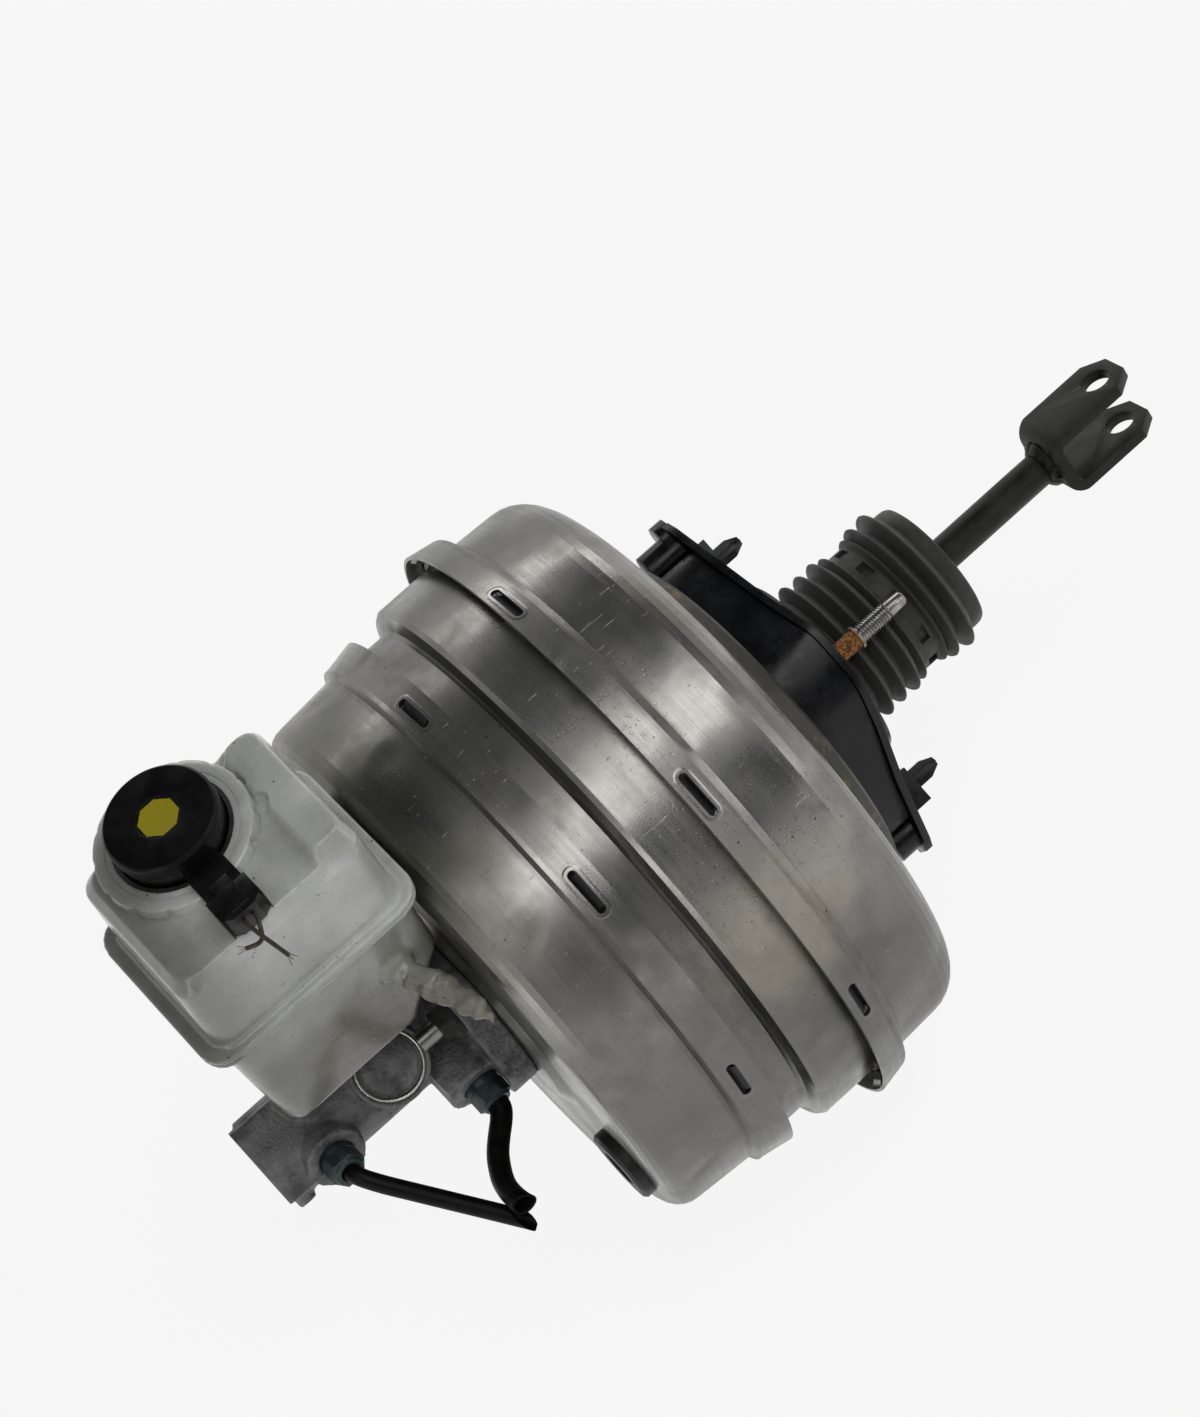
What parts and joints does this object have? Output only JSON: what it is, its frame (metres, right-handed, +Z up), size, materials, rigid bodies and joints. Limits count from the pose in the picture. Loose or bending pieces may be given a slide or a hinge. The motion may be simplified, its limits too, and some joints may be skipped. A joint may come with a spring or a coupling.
{
  "type": "tandem vacuum brake booster",
  "caption": "Tandem vacuum brake booster with master cylinder, fluid reservoir, spacer bracket, bellows and pedal push rod.",
  "frame": {"origin": "on the booster axis, at the middle of the two mounting studs, 3 mm outside the flat seat of the spacer bracket", "axes": "+X along the booster axis towards the pedal, +Z up towards the filler cap, -Y to the side of the outlet ports"},
  "size_m": [0.458, 0.275, 0.3173],
  "materials": {
    "pressed_steel": "satin, mottled and scratched",
    "plated_steel": "bright zinc plate",
    "dark_zinc": "blue-grey zinc plate",
    "phosphate_steel": "dark phosphate with light rust",
    "spring_steel": "oiled spring wire",
    "pipe_black": "black coated tube",
    "cast_aluminium": "rough casting with grime",
    "bright_aluminium": "turned and anodised",
    "black_plastic": "satin moulding",
    "valve_plastic": "glass filled moulding",
    "tank_plastic": "translucent, aged and grimy",
    "float_foam": "closed cell foam",
    "black_rubber": "moulded",
    "bellows_rubber": "dry, grey-brown",
    "hose_rubber": "pale, torn end",
    "gasket_paper": "pressed fibre",
    "filter_felt": "felt",
    "wire_sleeve": "faded and frayed"
  },
  "bodies": {
    "housing": {"front_shell": "pressed_steel", "middle_shell": "pressed_steel", "divider_plate": "plated_steel", "rear_shell": "pressed_steel", "divider_seal": "black_rubber", "rear_guide_seal": "black_rubber", "mounting_gasket": "gasket_paper", "spacer_bracket": "black_plastic", "mounting_studs": "plated_steel", "bellows": "bellows_rubber", "vacuum_grommet": "black_rubber", "master_cylinder": "cast_aluminium", "flange_o_ring": "black_rubber", "flange_studs": "plated_steel", "flange_nuts": "dark_zinc", "bore_circlip": "spring_steel", "side_plug": "cast_aluminium", "plug_wire_ring": "plated_steel", "flare_nuts": "dark_zinc", "front_pipe": "pipe_black", "rear_pipe": "pipe_black", "primary_spring": "spring_steel", "secondary_spring": "spring_steel", "inlet_grommets": "black_rubber", "reservoir_lower": "tank_plastic", "reservoir_upper": "tank_plastic", "reservoir_pin": "plated_steel", "return_hose": "hose_rubber"},
    "power_piston": {"valve_body": "valve_plastic", "front_plate": "plated_steel", "rear_plate": "plated_steel", "front_diaphragm": "black_rubber", "rear_diaphragm": "black_rubber", "reaction_disc": "black_rubber", "output_rod": "plated_steel", "rod_retainer": "plated_steel", "return_spring": "spring_steel", "stop_key": "plated_steel", "poppet_valve": "black_rubber", "poppet_retainer": "plated_steel", "poppet_spring": "spring_steel", "rod_spring": "spring_steel", "air_filter": "filter_felt"},
    "control_valve": {"control_plunger": "plated_steel"},
    "pedal_rod": {"push_rod": "phosphate_steel", "clevis": "phosphate_steel"},
    "primary": {"primary_piston": "bright_aluminium", "primary_cups": "black_rubber"},
    "secondary": {"secondary_piston": "bright_aluminium", "secondary_cups": "black_rubber"},
    "level_sensor": {"sensor_head": "black_plastic", "sensor_stem": "black_plastic", "cap_seal": "black_rubber", "connector_plug": "black_plastic", "sensor_wires": "wire_sleeve"},
    "cap": {"filler_cap": "black_plastic"},
    "float": {"sensor_float": "float_foam"}
  },
  "joints": [
    {"name": "power_piston_stroke", "type": "slide", "parent": "housing", "child": "power_piston", "axis": [-1, 0, 0], "range_m": [0, 0.03], "stiffness_N_per_m": 2500, "springref_m": -0.02, "deforming": ["return_spring", "bellows", "front_diaphragm", "rear_diaphragm", "primary_spring", "secondary_spring"]},
    {"name": "control_valve_travel", "type": "slide", "parent": "power_piston", "child": "control_valve", "axis": [-1, 0, 0], "range_m": [0, 0.0015], "stiffness_N_per_m": 1500, "springref_m": -0.003, "deforming": ["rod_spring", "bellows"]},
    {"name": "push_rod_tilt", "type": "hinge", "parent": "control_valve", "child": "pedal_rod", "pos_m": [-0.0274, 0, 0], "axis": [0, 0.342, 0.9397], "range_deg": [-3, 3], "stiffness_Nm_per_rad": 4, "deforming": ["rod_spring", "bellows"]},
    {"name": "primary_piston_slide", "type": "slide", "parent": "housing", "child": "primary", "axis": [-1, 0, 0], "range_m": [0, 0.03], "deforming": ["primary_spring"]},
    {"name": "secondary_piston_slide", "type": "slide", "parent": "housing", "child": "secondary", "axis": [-1, 0, 0], "range_m": [0, 0.012], "deforming": ["primary_spring", "secondary_spring"]},
    {"name": "level_sensor_lift", "type": "slide", "parent": "housing", "child": "level_sensor", "axis": [0, 0, 1], "range_m": [0, 0.1]},
    {"name": "filler_cap_turn", "type": "hinge", "parent": "level_sensor", "child": "cap", "pos_m": [-0.239, 0.0175, 0.176], "axis": [0, 0, 1], "range_deg": [0, 90]},
    {"name": "float_rise", "type": "slide", "parent": "level_sensor", "child": "float", "axis": [0, 0, 1], "range_m": [0, 0.04]}
  ],
  "couplings": [
    {"joint": "primary_piston_slide", "follows": "power_piston_stroke", "ratio": 1},
    {"joint": "secondary_piston_slide", "follows": "power_piston_stroke", "ratio": 0.4}
  ]
}
